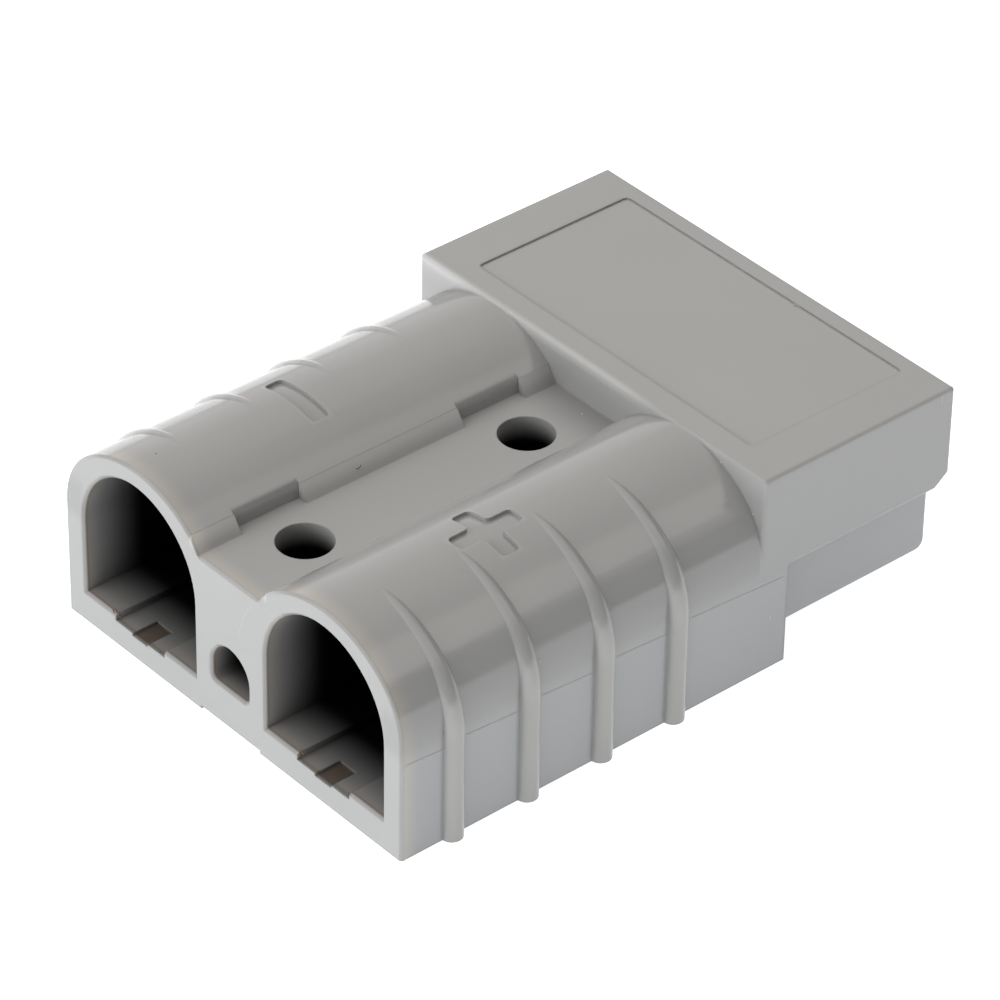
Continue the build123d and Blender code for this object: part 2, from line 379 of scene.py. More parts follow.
@dataclass(frozen=True)
class SatinWeb:
    """Satin web and strips at the feet of the barrels, where the mould isn't polished."""

    half_width: float = 3.975 * MM
    floor: float = 12.2 * MM
    top: float = 14.3 * MM
    front: float = 6.7 * MM
    edge: float = 0.015 * MM
    # The lights below are painted light on the web and strips, and the span and tone after them paint
    # shade on the web toward the hood.
    web_painted_light: float = 1.035
    strip: Span = (12.6 * MM, 13.55 * MM)
    strip_painted_light: float = 1.5
    painted_hood_shade: Span = (2.6 * MM, 6.8 * MM)
    painted_hood_shade_tone: float = 0.74

    def mask(self, graph: PlacedGraph) -> Socket:
        """Finds the satin surfaces.

        Args:
            graph: the material's nodes.

        Returns:
            One on the web and on the strips, zero elsewhere.
        """
        across = graph.fall(graph.math("ABSOLUTE", graph.x), self.half_width, self.half_width + self.edge)
        above = graph.ramp(graph.z, self.floor, self.floor + self.edge)
        below = graph.fall(graph.z, self.top, self.top + self.edge)
        behind = graph.fall(graph.y, self.front, self.front + self.edge)
        return graph.product(across, above, below, behind)

    def tone(self, graph: PlacedGraph, mask: Socket) -> Socket:
        """Painted light and shade on the satin surfaces: strips painted lighter toward their crests, web
        painted darker at the hood.

        Args:
            graph: the material's nodes.
            mask: where the satin surfaces are.

        Returns:
            Factor for the colour.
        """
        # Painted light, growing toward the strips' crests.
        strip = graph.ramp(graph.z, *self.strip, self.web_painted_light, self.strip_painted_light)
        # Painted shade on the web toward the hood.
        painted_hood_shading = graph.ramp(graph.y, *self.painted_hood_shade, 1.0, self.painted_hood_shade_tone)
        return graph.changed(mask, graph.math("SUBTRACT", graph.product(strip, painted_hood_shading), 1.0))


@dataclass(frozen=True)
class SideTint:
    """Tint of the outer sides: lighter and cooler under the parting line, and lighter on the ribs, a
    painted light.
    """

    nose_rear: float = 9.4 * MM
    parting_height: float = 7.5 * MM
    lower: Colour = (1.03, 1.045, 1.075)
    # The rib tint is painted light on the ribs' lit faces.
    rib: Colour = (1.10, 1.08, 1.06)

    def tint(self, graph: PlacedGraph) -> Socket:
        """Works out the tint.

        Args:
            graph: the material's nodes.

        Returns:
            Colour that the moulding's colour is multiplied by.
        """
        aside = graph.math("ABSOLUTE", graph.x)
        nose = graph.ramp(graph.y, self.nose_rear - SOFT_EDGE, self.nose_rear)
        outside = graph.math("MAXIMUM", graph.ramp(aside, SIDE - SOFT_EDGE, SIDE - SOFT_EDGE / 2), nose)
        below = graph.fall(graph.z, self.parting_height - SOFT_EDGE, self.parting_height + SOFT_EDGE)
        tint = graph.blend(graph.product(outside, below), rgba(WHITE), rgba(self.lower))
        # Painted light on the ribs.
        painted_rib_light = graph.ramp(aside, SIDE + SOFT_EDGE / 2, SIDE + 3 * SOFT_EDGE)
        return graph.blend(painted_rib_light, tint, rgba(self.rib))


@dataclass(frozen=True)
class HoodPaintedLight:
    """Painted light on the hood: its top, its near edge and the left and upper parts of its rear are
    painted lighter, the near edge as a painted highlight.
    """

    top: float = 15.4 * MM
    top_painted_light: float = 0.075
    upper: Span = (13.6 * MM, 15.5 * MM)
    upper_painted_light: float = 0.14
    left: Span = (-14.0 * MM, -9.0 * MM)
    left_painted_light: float = 0.22
    brow: Span = (2.0 * MM, 8.0 * MM)
    brow_width: float = 0.6 * MM
    brow_painted_highlight: float = 0.32

    def tone(self, graph: PlacedGraph) -> Socket:
        """Works out the painted light.

        Args:
            graph: the material's nodes.

        Returns:
            Factor for the colour.
        """
        ahead = graph.ramp(graph.y, HOOD_REAR - SOFT_EDGE, HOOD_REAR - SOFT_EDGE / 2)
        behind = graph.fall(graph.y, HOOD_REAR + SOFT_EDGE, HOOD_REAR + 3 * SOFT_EDGE)
        upper = graph.ramp(graph.z, *self.upper, 0.0, self.upper_painted_light)
        left = graph.ramp(graph.x, *self.left, self.left_painted_light, 0.0)
        rear = graph.product(behind, graph.math("ADD", upper, left))
        top = graph.ramp(graph.z, self.top, self.top + SOFT_EDGE, 0.0, self.top_painted_light)
        near = graph.fall(graph.y, HOOD_REAR + SOFT_EDGE, HOOD_REAR + self.brow_width)
        high = graph.ramp(graph.z, self.top - self.brow_width, self.top)
        # Painted highlight along the hood's near top edge.
        brow = graph.product(near, high, graph.ramp(graph.x, *self.brow, self.brow_painted_highlight, 0.0))
        return graph.changed(ahead, graph.math("ADD", graph.math("MAXIMUM", rear, top), brow))


@dataclass(frozen=True)
class RibRow:
    """Places of the grip ribs along the barrels."""

    first: float = 4.3 * MM
    pitch: float = 6.36 * MM
    half_width: float = 0.75 * MM
    last_end: float = 1.0 * MM

    def mask(self, graph: PlacedGraph) -> Socket:
        """Finds the ribs.

        Args:
            graph: the material's nodes.

        Returns:
            One over the length of each rib, zero between them.
        """
        from_first = graph.math("SUBTRACT", graph.y, REAR_FACE + self.first)
        away = graph.math("PINGPONG", from_first, self.pitch / 2)
        rib = graph.fall(away, self.half_width, self.half_width + SOFT_EDGE)
        return graph.product(rib, graph.fall(graph.y, self.last_end, self.last_end + SOFT_EDGE))


@dataclass(frozen=True)
class BarrelPaintedLightAndShade:
    """Painted light and shade on the barrels: shoulders, the positive crown's foot and the negative
    barrel's far side.

    The shoulders are painted darker than the crown above and the side below, except on the ribs, which are
    painted lighter.
    """

    ribs: RibRow = RibRow()
    bores: Bores = Bores()
    shoulder_rise: Span = (7.7 * MM, 9.0 * MM)
    shoulder_fall: Span = (10.4 * MM, 12.4 * MM)
    shoulder_reach: Span = (15.0 * MM, 16.0 * MM)
    shoulder_painted_shade: float = -0.13
    rib_painted_light: float = 0.05
    foot_start: Span = (3.975 * MM, 4.005 * MM)
    foot_end: Span = (5.8 * MM, 6.7 * MM)
    foot_height: float = 13.5 * MM
    foot_painted_light: float = 0.13
    far_reach: Span = (-14.1 * MM, -12.9 * MM)
    far_rise: Span = (10.0 * MM, 12.0 * MM)
    far_painted_shade: float = -0.22
    far_rib_painted_light: float = 0.3

    def shoulders(self, graph: PlacedGraph, ribs: Socket) -> Socket:
        """Painted shade at the outer shoulders, with painted light on the ribs.

        Args:
            graph: the material's nodes.
            ribs: where the ribs are.

        Returns:
            Change of the factor for the colour.
        """
        rise = graph.ramp(graph.z, *self.shoulder_rise)
        fall = graph.fall(graph.z, *self.shoulder_fall)
        outer = graph.ramp(graph.math("ABSOLUTE", graph.x), *self.shoulder_reach)
        step = self.rib_painted_light - self.shoulder_painted_shade
        # Painted shade on the shoulders, painted light on the ribs.
        shade = graph.math("MULTIPLY_ADD", ribs, step, self.shoulder_painted_shade)
        return graph.product(rise, fall, outer, shade)

    def foot(self, graph: PlacedGraph) -> Socket:
        """Painted light at the positive crown's foot, beside the web.

        Args:
            graph: the material's nodes.

        Returns:
            Change of the factor for the colour.
        """
        start = graph.ramp(graph.x, *self.foot_start, 0.0, self.foot_painted_light)
        above = graph.ramp(graph.z, self.foot_height - SOFT_EDGE, self.foot_height)
        return graph.product(start, graph.fall(graph.x, *self.foot_end), above)

    def far_side(self, graph: PlacedGraph, ribs: Socket) -> Socket:
        """Painted shade on the negative barrel's far side, with painted highlights on its ribs.

        Args:
            graph: the material's nodes.
            ribs: where the ribs are.

        Returns:
            Change of the factor for the colour.
        """
        reach = graph.fall(graph.x, *self.far_reach)
        rise = graph.ramp(graph.z, *self.far_rise)
        # Painted shade between the ribs, painted highlights on them.
        shade = graph.ramp(ribs, 0.0, 1.0, self.far_painted_shade, self.far_rib_painted_light)
        return graph.product(reach, rise, shade)

    def tone(self, graph: PlacedGraph) -> Socket:
        """Works out the painted light and shade behind the hood.

        Args:
            graph: the material's nodes.

        Returns:
            Factor for the colour.
        """
        ribs = self.ribs.mask(graph)
        behind = graph.fall(graph.y, HOOD_REAR - 2 * SOFT_EDGE, HOOD_REAR - SOFT_EDGE)
        shoulders = graph.changed(behind, self.shoulders(graph, ribs))
        between = graph.product(behind, self.bores.past_face(graph))
        flanks = graph.math("ADD", self.foot(graph), self.far_side(graph, ribs))
        return graph.product(shoulders, graph.changed(between, flanks))


@dataclass(frozen=True)
class MarkPaintedLight:
    """Painted light at both polarity marks: a painted highlight round their rims and painted shade on
    their floors.
    """

    bores: Bores = Bores()
    middle: float = -10.5 * MM
    lowest: float = 14.5 * MM
    half_span: float = 2.65 * MM
    half_stroke: float = 0.725 * MM
    stem_from: Span = (-1.0 * MM, 1.0 * MM)
    rim: float = 0.32 * MM
    rim_painted_highlight: float = 0.09
    floor_edge: float = 0.05 * MM
    floor_painted_shade: float = 0.025

    def past_stroke(self, graph: PlacedGraph, lengthwise: Socket, crosswise: Socket) -> Socket:
        """How far outside one stroke the place is, negative inside it."""
        past_end = graph.math("SUBTRACT", lengthwise, self.half_span)
        return graph.math("MAXIMUM", past_end, graph.math("SUBTRACT", crosswise, self.half_stroke))

    def tone(self, graph: PlacedGraph) -> Socket:
        """Works out the painted highlight and shade. Only the mark on the positive barrel has a stem.

        Args:
            graph: the material's nodes.

        Returns:
            Factor for the colour.
        """
        across = self.bores.tunnel_middle(graph)
        along = graph.math("ABSOLUTE", graph.math("SUBTRACT", graph.y, self.middle))
        bar = self.past_stroke(graph, across, along)
        no_stem = graph.fall(graph.x, *self.stem_from)
        stem = graph.math("ADD", self.past_stroke(graph, along, across), no_stem)
        outside = graph.math("MINIMUM", bar, stem)
        inside = graph.fall(outside, -self.floor_edge, 0.0)
        # Painted highlight round the rims, painted shade on the floors.
        light = graph.ramp(outside, 0.0, self.rim, self.rim_painted_highlight, 0.0)
        shade = graph.product(inside, self.rim_painted_highlight + self.floor_painted_shade)
        above = graph.ramp(graph.z, self.lowest, self.lowest + SOFT_EDGE)
        return graph.changed(above, graph.math("SUBTRACT", light, shade))


@dataclass(frozen=True)
class WitnessLine:
    """Pale line that the edge of a mould insert left on the rear face, round the positive entry."""

    middle: Span = (9.65 * MM, 6.7 * MM)
    radius: float = 8.8 * MM
    half_width: float = 0.035 * MM
    heights: Span = (7.6 * MM, 12.2 * MM)
    fade: float = 0.8 * MM
    inner_fade: float = 1.0 * MM
    skin: Span = (0.02 * MM, 0.05 * MM)
    light: float = 1.14

    def tone(self, graph: PlacedGraph) -> Socket:
        """Works out the tone.

        Args:
            graph: the material's nodes.

        Returns:
            Factor for the colour.
        """
        low, high = self.heights
        aside = graph.math("SUBTRACT", graph.x, self.middle[0])
        above = graph.math("SUBTRACT", graph.z, self.middle[1])
        away = graph.math("SUBTRACT", graph.length(aside, above), self.radius)
        line = graph.fall(graph.math("ABSOLUTE", away), self.half_width / 2, self.half_width)
        rise = graph.ramp(graph.z, low, low + self.fade)
        fall = graph.fall(graph.z, high - self.fade, high)
        inner = graph.fall(aside, -self.inner_fade, 0.0)
        at_face = graph.fall(graph.y, *(REAR_FACE + depth for depth in self.skin))
        share = graph.product(line, rise, fall, inner, at_face)
        return graph.ramp(share, 0.0, 1.0, 1.0, self.light)


@dataclass(frozen=True)
class EdgeSoftness:
    """Radius that the light sees at the edges, larger at the rear face and on the hood."""

    plain: float = 0.14 * MM
    rear: float = 0.2 * MM
    rear_reach: Span = (0.45 * MM, 0.9 * MM)
    hood: float = 0.36 * MM
    hood_start: float = 0.5 * MM

    def radius(self, graph: PlacedGraph) -> Socket:
        """Works out the radius.

        Args:
            graph: the material's nodes.

        Returns:
            Radius in metres.
        """
        rear_end = graph.fall(graph.y, *(REAR_FACE + reach for reach in self.rear_reach))
        hood = graph.ramp(graph.y, HOOD_REAR - self.hood_start, HOOD_REAR - SOFT_EDGE)
        at_rear = graph.product(rear_end, self.rear - self.plain)
        at_hood = graph.product(hood, self.hood - self.plain)
        return graph.math("ADD", graph.math("ADD", at_rear, at_hood), self.plain)


@dataclass(frozen=True)
class MouldedGrey:
    """Grey moulded polycarbonate, glossy off the polished mould and satin off the eroded web.

    The bores are painted darker with depth, a painted shade, and their rims brownish, as the photograph
    shows them. A painted warm glow lies along the rear face.
    """

    grey: Colour = (0.305, 0.304, 0.300)
    # The warmer, lighter rim colour is a painted glow near the rear face, standing in for light shining
    # through the plastic's edge.
    warm_painted_glow: Colour = (0.395, 0.368, 0.335)
    brown: Colour = (0.125, 0.09, 0.067)
    # Colour of the bores' painted shade.
    painted_shade_black: Colour = (0.002, 0.002, 0.002)
    painted_glow_reach: float = 1.7 * MM
    flow_scale: float = 90.0
    flow_detail: float = 3.0
    flow_tone: Span = (0.985, 1.015)
    roughness: float = 0.16
    satin_roughness: float = 0.5
    worn_range: Span = (0.35, 0.75)
    worn_roughness: Span = (-0.015, 0.03)
    deep_range: Span = (0.0, 0.15)
    deep_roughness: float = 0.45
    refraction: float = 1.585
    shine_range: Span = (0.1, 0.8)
    shine: float = 0.5
    grain_scale: float = 9000.0
    grain_depth: float = 0.02 * MM
    grain: float = 0.012
    satin_grain: float = 0.05
    shades: BoreShades = BoreShades()
    satin: SatinWeb = SatinWeb()
    sides: SideTint = SideTint()
    edges: EdgeSoftness = EdgeSoftness()
    tones: tuple[HoodPaintedLight, BarrelPaintedLightAndShade, MarkPaintedLight, WitnessLine] = (
        HoodPaintedLight(),
        BarrelPaintedLightAndShade(),
        MarkPaintedLight(),
        WitnessLine(),
    )

    def colour(self, graph: PlacedGraph, painted_depth_shade: Socket) -> Socket:
        """Colour before the tones: grey, a painted warm glow toward the rear face, brown at rims, and the
        bores' painted shade deep inside.

        Args:
            graph: the material's nodes.
            painted_depth_shade: painted shade, how far the bores are darkened.

        Returns:
            The colour.
        """
        # Painted glow: lighter and warmer toward the rear face.
        rim = graph.fall(graph.y, REAR_FACE, REAR_FACE + self.painted_glow_reach)
        rim = graph.product(rim, self.shades.bores.past_face(graph))
        colour = graph.blend(rim, rgba(self.grey), rgba(self.warm_painted_glow))
        colour = graph.blend(self.shades.brown(graph), colour, rgba(self.brown))
        # Painted shade: the colour is darkened deep in the bores.
        return graph.blend(painted_depth_shade, colour, rgba(self.painted_shade_black))

    def toned(self, graph: PlacedGraph, painted_depth_shade: Socket, satin: Socket, flow: Socket) -> Socket:
        """Colour with every tone and tint on it, most of them painted light and shade.

        Args:
            graph: the material's nodes.
            painted_depth_shade: painted shade, how far the bores are darkened.
            satin: where the satin surfaces are.
            flow: slow unevenness of the moulding.

        Returns:
            The finished colour.
        """
        uneven = graph.ramp(flow, *NOISE_RANGE, *self.flow_tone)
        tones = [part.tone(graph) for part in self.tones]
        tone = graph.product(uneven, self.satin.tone(graph, satin), *tones)
        toned = graph.scaled(self.colour(graph, painted_depth_shade), tone)
        tinted = {0: toned, 1: self.sides.tint(graph)}
        return graph.add("ShaderNodeVectorMath", tinted, operation="MULTIPLY").outputs[0]

    def rough(self, graph: PlacedGraph, painted_depth_shade: Socket, satin: Socket, flow: Socket) -> Socket:
        """Roughness, higher on the satin surfaces and in the bores.

        Args:
            graph: the material's nodes.
            painted_depth_shade: painted shade, how far the bores are darkened.
            satin: where the satin surfaces are.
            flow: slow unevenness of the moulding.

        Returns:
            The roughness.
        """
        plain = graph.ramp(satin, 0.0, 1.0, self.roughness, self.satin_roughness)
        worn = graph.math("ADD", plain, graph.ramp(flow, *self.worn_range, *self.worn_roughness))
        return graph.math("ADD", worn, graph.ramp(painted_depth_shade, *self.deep_range, 0.0, self.deep_roughness))

    def relief(self, graph: PlacedGraph, satin: Socket) -> Socket:
        """Direction of the surface with softened edges and fine grain.

        Args:
            graph: the material's nodes.
            satin: where the satin surfaces are.

        Returns:
            The surface's normal.
        """
        rounded = graph.add("ShaderNodeBevel", {"Radius": self.edges.radius(graph)}, samples=2).outputs[0]
        grain = {
            "Strength": graph.ramp(satin, 0.0, 1.0, self.grain, self.satin_grain),
            "Distance": self.grain_depth,
            "Height": graph.noise(graph.where, self.grain_scale),
            "Normal": rounded,
        }
        return graph.add("ShaderNodeBump", grain).outputs[0]

    def build(self) -> bpy.types.Material:
        """Makes the material.

        Returns:
            The finished material.
        """
        material = bpy.data.materials.new("moulded_grey")
        graph = PlacedGraph(material)
        satin = self.satin.mask(graph)
        painted_depth_shade = self.shades.painted_depth_shade(graph)
        flow = graph.noise(graph.where, self.flow_scale, self.flow_detail)
        graph.surface(
            {
                "Base Color": self.toned(graph, painted_depth_shade, satin, flow),
                "Roughness": self.rough(graph, painted_depth_shade, satin, flow),
                "IOR": self.refraction,
                # The specular level falls to zero in the bores' painted shade, which takes their
                # reflections away.
                "Specular IOR Level": graph.ramp(painted_depth_shade, *self.shine_range, self.shine, 0.0),
                "Normal": self.relief(graph, satin),
            }
        )
        return material


@dataclass(frozen=True)
class PlainMatt:
    """Plain matt finish of a speck or a shaving."""

    name: str
    colour: Colour
    roughness: float = 0.6
    grain_scale: float = 4000.0
    unevenness: Span = (0.85, 1.1)

    def build(self) -> bpy.types.Material:
        """Makes the material.

        Returns:
            The finished material.
        """
        material = bpy.data.materials.new(self.name)
        graph = Graph(material)
        grain = graph.noise(graph.object_place(), self.grain_scale)
        uneven = graph.ramp(grain, *NOISE_RANGE, *self.unevenness)
        graph.surface({"Base Color": graph.scaled(self.colour, uneven), "Roughness": self.roughness})
        return material


@dataclass(frozen=True)
class SpringStrip:
    """Bright cold rolled spring strip with faint lines along its length."""

    steel: Colour = (0.60, 0.59, 0.57)
    dull: Colour = (0.50, 0.485, 0.46)
    stain_scale: float = 260.0
    stain_detail: float = 3.0
    stain_range: Span = (0.4, 0.75)
    line_scale: Point = (9000.0, 150.0, 150.0)
    line_detail: float = 4.0
    line_strength: float = 0.1
    line_depth: float = 0.01 * MM
    roughness: float = 0.26
    line_roughness: Span = (-0.05, 0.08)

    def build(self) -> bpy.types.Material:
        """Makes the material.

        Returns:
            The finished material.
        """
        material = bpy.data.materials.new("spring_strip")
        graph = Graph(material)
        where = graph.object_place()
        stretched = graph.add("ShaderNodeMapping", {0: where, "Scale": self.line_scale}).outputs[0]
        lines = graph.noise(stretched, 1.0, self.line_detail)
        stain = graph.noise(where, self.stain_scale, self.stain_detail)
        stained = graph.ramp(stain, *self.stain_range)
        rough = graph.ramp(lines, *NOISE_RANGE, *self.line_roughness)
        relief = {"Strength": self.line_strength, "Distance": self.line_depth, "Height": lines}
        graph.surface(
            {
                "Base Color": graph.blend(stained, rgba(self.steel), rgba(self.dull)),
                "Metallic": 1.0,
                "Roughness": graph.math("ADD", rough, self.roughness),
                "Normal": graph.add("ShaderNodeBump", relief).outputs[0],
            }
        )
        return material


@dataclass(frozen=True)
class PaleFloor:
    """Plain white table, lit from below like a light table except right under the housing."""

    white: Colour = (0.90, 0.91, 0.92)
    cloud_scale: float = 6.0
    roughness: Span = (0.55, 0.6)
    glow_tint: Colour = (0.94, 0.975, 1.0)
    glow: float = 0.78
    covered_middle: Span = (0.0, -7.4 * MM)
    covered_half: Span = (15.0 * MM, 14.0 * MM)
    soft_edge: float = 1.5 * MM

    def build(self) -> bpy.types.Material:
        """Makes the material.

        Returns:
            The finished material.
        """
        material = bpy.data.materials.new("pale_floor")
        graph = PlacedGraph(material)
        covered = []
        for value, middle, half in zip((graph.x, graph.y), self.covered_middle, self.covered_half):
            away = graph.math("ABSOLUTE", graph.math("SUBTRACT", value, middle))
            covered.append(graph.fall(away, half, half + self.soft_edge))
        open_table = graph.math("SUBTRACT", 1.0, graph.product(*covered))
        cloud = graph.noise(graph.where, self.cloud_scale)
        graph.surface(
            {
                "Base Color": rgba(self.white),
                "Roughness": graph.ramp(cloud, *NOISE_RANGE, *self.roughness),
                "Emission Color": rgba(self.glow_tint),
                "Emission Strength": graph.product(open_table, self.glow),
            }
        )
        return material


class Effect(Enum):
    """What a soft light reaches: everything, only matt surfaces, or only reflections."""

    ALL = "all"
    MATT = "matt"
    GLOSS = "gloss"


@dataclass(frozen=True)
class SoftLight:
    """One rectangular soft light.

    Its radiance is the brightness of its surface, where the white table is about one.
    """

    name: str
    place: Point
    aim: Point
    size: Span
    radiance: float
    tint: Colour = WHITE
    effect: Effect = Effect.ALL

    def hang(self) -> bpy.types.Object:
        """Hangs the light in the scene.

        Returns:
            The light's object.
        """
        light = bpy.data.lights.new(self.name, "AREA")
        light.shape = "RECTANGLE"
        light.size, light.size_y = self.size
        light.energy = self.radiance * pi * self.size[0] * self.size[1]
        light.color = self.tint
        lamp = bpy.data.objects.new(self.name, light)
        lamp.location = self.place
        lamp.rotation_euler = (Vector(self.aim) - Vector(self.place)).to_track_quat("-Z", "Y").to_euler()
        lamp.visible_camera = False
        lamp.visible_glossy = self.effect is not Effect.MATT
        lamp.visible_diffuse = self.effect is not Effect.GLOSS
        bpy.context.scene.collection.objects.link(lamp)
        return lamp


# Place between the barrels that most lights point at.
BARRELS = (0.0, 0.0, 0.01)
LIGHTS = (
    SoftLight("overhead", (-0.215, -0.1, 0.6), (-0.215, -0.1, 0.0), (1.62, 1.7), 0.8, (1.0, 0.972, 0.93)),
    SoftLight(
        "behind", (-0.2, -0.8, 0.22), (0.0, -0.02, 0.01), (0.8, 0.4), 4.0, (0.957, 0.964, 1.0), Effect.MATT
    ),
    SoftLight("behind_gloss", (-0.25, -0.8, 0.12), BARRELS, (0.8, 0.3), 2.2, WHITE, Effect.GLOSS),
    SoftLight(
        "left_gloss", (-0.98, 0.64, 0.30), BARRELS, (1.2, 0.5), 0.85, (1.0, 0.97, 0.94), Effect.GLOSS
    ),
    SoftLight(
        "right_gloss", (0.36, 0.42, 0.58), BARRELS, (0.3, 0.6), 0.75, (1.0, 0.97, 0.93), Effect.GLOSS
    ),
    SoftLight(
        "right_fill", (0.8, 0.1, 0.1), (0.0, 0.0, 0.005), (0.6, 0.2), 0.4, (0.9, 0.96, 1.0), Effect.MATT
    ),
)


@dataclass
class Studio:
    """White table, soft lights around it and the camera."""

    lens: float = 199.711
    sensor_width: float = 36.0
    clip: Span = (0.01, 100.0)
    camera_place: Point = (0.22665338, -0.19879602, 0.22665531)
    right: Point = (0.65015105, 0.75967967, 0.01379944)
    up: Point = (-0.45383011, 0.37370383, 0.80893985)
    floor_size: float = 8.0
    sky: float = 0.38
    dark_sky: float = 0.07
    dark_heading: float = 32.0
    dark_range: Span = (-0.1, 0.6)

    def floor(self) -> bpy.types.Object:
        """Lays the table's top.

        Returns:
            The floor object.
        """
        shape = bmesh.new()
        bmesh.ops.create_grid(shape, x_segments=1, y_segments=1, size=self.floor_size / 2)
        table = mesh_object("table_top", shape, PaleFloor().build())
        return table

    def world(self) -> None:
        """Sets an even soft sky that is dimmer low down on the side of the positive barrel."""
        world = bpy.data.worlds.new("soft_sky")
        bpy.context.scene.world = world
        graph = Graph(world)
        heading = graph.add("ShaderNodeTexCoord").outputs["Generated"]
        angle = radians(self.dark_heading)
        directions = {0: heading, 1: (cos(angle), sin(angle), 0.0)}
        facing = graph.add("ShaderNodeVectorMath", directions, operation="DOT_PRODUCT").outputs["Value"]
        level = graph.ramp(facing, *self.dark_range, self.sky, self.dark_sky)
        background = graph.add("ShaderNodeBackground", {"Color": rgba(WHITE), "Strength": level})
        graph.add("ShaderNodeOutputWorld", {0: background.outputs[0]})

    def camera(self) -> None:
        """Sets up the camera at the photograph's viewing angle."""
        camera = bpy.data.cameras.new("photo_camera")
        camera.lens = self.lens
        camera.sensor_width = self.sensor_width
        camera.clip_start, camera.clip_end = self.clip
        holder = bpy.data.objects.new("photo_camera", camera)
        right, up = Vector(self.right), Vector(self.up)
        turn = Matrix((right, up, right.cross(up))).transposed()
        holder.matrix_world = Matrix.Translation(self.camera_place) @ turn.to_4x4()
        bpy.context.scene.collection.objects.link(holder)
        bpy.context.scene.camera = holder

    def build(self) -> None:
        """Sets up the floor, the sky, the lights, the camera and plain colours."""
        bpy.context.scene.view_settings.view_transform = "Standard"
        self.floor()
        self.world()
        for light in LIGHTS:
            light.hang()
        self.camera()


def mesh_object(name: str, shape: bmesh.types.BMesh, material: bpy.types.Material) -> bpy.types.Object:
    """Turns a finished bmesh into an object of the scene.

    Args:
        name: name of the mesh and the object.
        shape: the bmesh, which is freed here.
        material: the finish of all its faces.

    Returns:
        The new object, at the origin.
    """
    mesh = bpy.data.meshes.new(name)
    shape.to_mesh(mesh)
    shape.free()
    mesh.materials.append(material)
    made = bpy.data.objects.new(name, mesh)
    bpy.context.scene.collection.objects.link(made)
    return made


@dataclass
class HousingDress:
    """Finish of the moulding that comes from the CAD."""

    node: str = "housing"

    def dress(self) -> bpy.types.Object:
        """Gives the CAD node its moulded finish.

        Returns:
            The CAD node's object.
        """
        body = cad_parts[self.node]
        body.data.materials.clear()
        body.data.materials.append(MouldedGrey().build())
        return body


@dataclass
class SpringDress:
    """Finish of both leaf springs."""

    nodes: tuple[str, str] = ("positive_spring", "negative_spring")

    def dress(self) -> list[bpy.types.Object]:
        """Gives both CAD nodes the spring strip's finish.

        Returns:
            The two CAD nodes' objects.
        """
        finish = SpringStrip().build()
        springs = [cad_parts[name] for name in self.nodes]
        for spring in springs:
            spring.data.materials.clear()
            spring.data.materials.append(finish)
        return springs


def settle(name: str, shape: bmesh.types.BMesh, finish: PlainMatt) -> bpy.types.Object:
    """Closes a small piece's open ends and puts it into the scene on the housing.

    Args:
        name: name of the piece.
        shape: its bmesh, which is freed here.
        finish: the finish of all its faces.

    Returns:
        The new object.
    """
    bmesh.ops.holes_fill(shape, edges=[edge for edge in shape.edges if edge.is_boundary])
    bmesh.ops.recalc_face_normals(shape, faces=shape.faces)
    piece = mesh_object(name, shape, finish.build())
    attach(piece, "root")
    return piece


@dataclass
class PartingLines:
    """Fine ridges that the two mould halves leave on both outer sides, one in each bay between ribs.

    The bays are given in millimetres from the rear face, and each ridge sinks by its fall.
    """

    bays: tuple[Span, ...] = ((0.3, 3.5), (5.1, 9.85), (11.45, 16.2), (17.8, 22.55), (24.2, 32.9))
    falls: tuple[float, ...] = (0.25, 0.35, 0.35, 0.35, 0.6)
    rear_height: float = 7.7 * MM
    width: float = 0.045 * MM
    proud: float = 0.012 * MM
    finish: PlainMatt = PlainMatt("parting_ridge", (0.278, 0.281, 0.288), 0.35)

    def build(self) -> bpy.types.Object:
        """Lays one straight ridge in each bay of both sides.

        Returns:
            The ridges' object.
        """
        shape = bmesh.new()
        for (start, end), fall in zip(self.bays, self.falls):
            length, drop = (end - start) * MM, fall * MM
            middle = (REAR_FACE + (start + end) / 2 * MM, self.rear_height - drop / 2)
            turn = Matrix.Rotation(-atan2(drop, length), 4, "X")
            size = Matrix.Diagonal((2 * self.proud, length, self.width, 1.0))
            for side in (-SIDE, SIDE):
                place = Matrix.Translation((side, *middle)) @ turn @ size
                bmesh.ops.create_cube(shape, size=1.0, matrix=place)
        return settle("parting_lines", shape, self.finish)


@dataclass(frozen=True)
class Curl:
    """Round thread of plastic bent along an arc of a circle, its sizes in millimetres.

    The turn takes the circle's axis from +Z to where it points, and the angles are in degrees
    from the turned +X.
    """

    centre: Point
    radius: float
    start: float
    sweep: float
    thickness: float
    turn: Point = (90.0, 0.0, 0.0)
    sides: int = 8
    fewest_steps: int = 8
    step_angle: float = 4.0

    def add_to(self, shape: bmesh.types.BMesh) -> None:
        """Spins the thread's round section along its arc.

        Args:
            shape: bmesh that the thread is added to, with open ends.
        """
        turned = Euler([radians(angle) for angle in self.turn]).to_matrix().to_4x4()
        centre = Vector(self.centre) * MM
        place = Matrix.Translation(centre) @ turned @ Matrix.Rotation(radians(self.start), 4, "Z")
        place = place @ Matrix.Translation((self.radius * MM, 0.0, 0.0)) @ Matrix.Rotation(pi / 2, 4, "X")
        half = self.thickness * MM / 2
        ring = bmesh.ops.create_circle(shape, segments=self.sides, radius=half, matrix=place)["verts"]
        edges = list({edge for corner in ring for edge in corner.link_edges})
        bmesh.ops.spin(
            shape,
            geom=ring + edges,
            cent=centre,
            axis=turned.to_3x3() @ Vector((0.0, 0.0, 1.0)),
            angle=radians(self.sweep),
            steps=max(self.fewest_steps, round(abs(self.sweep) / self.step_angle)),
        )


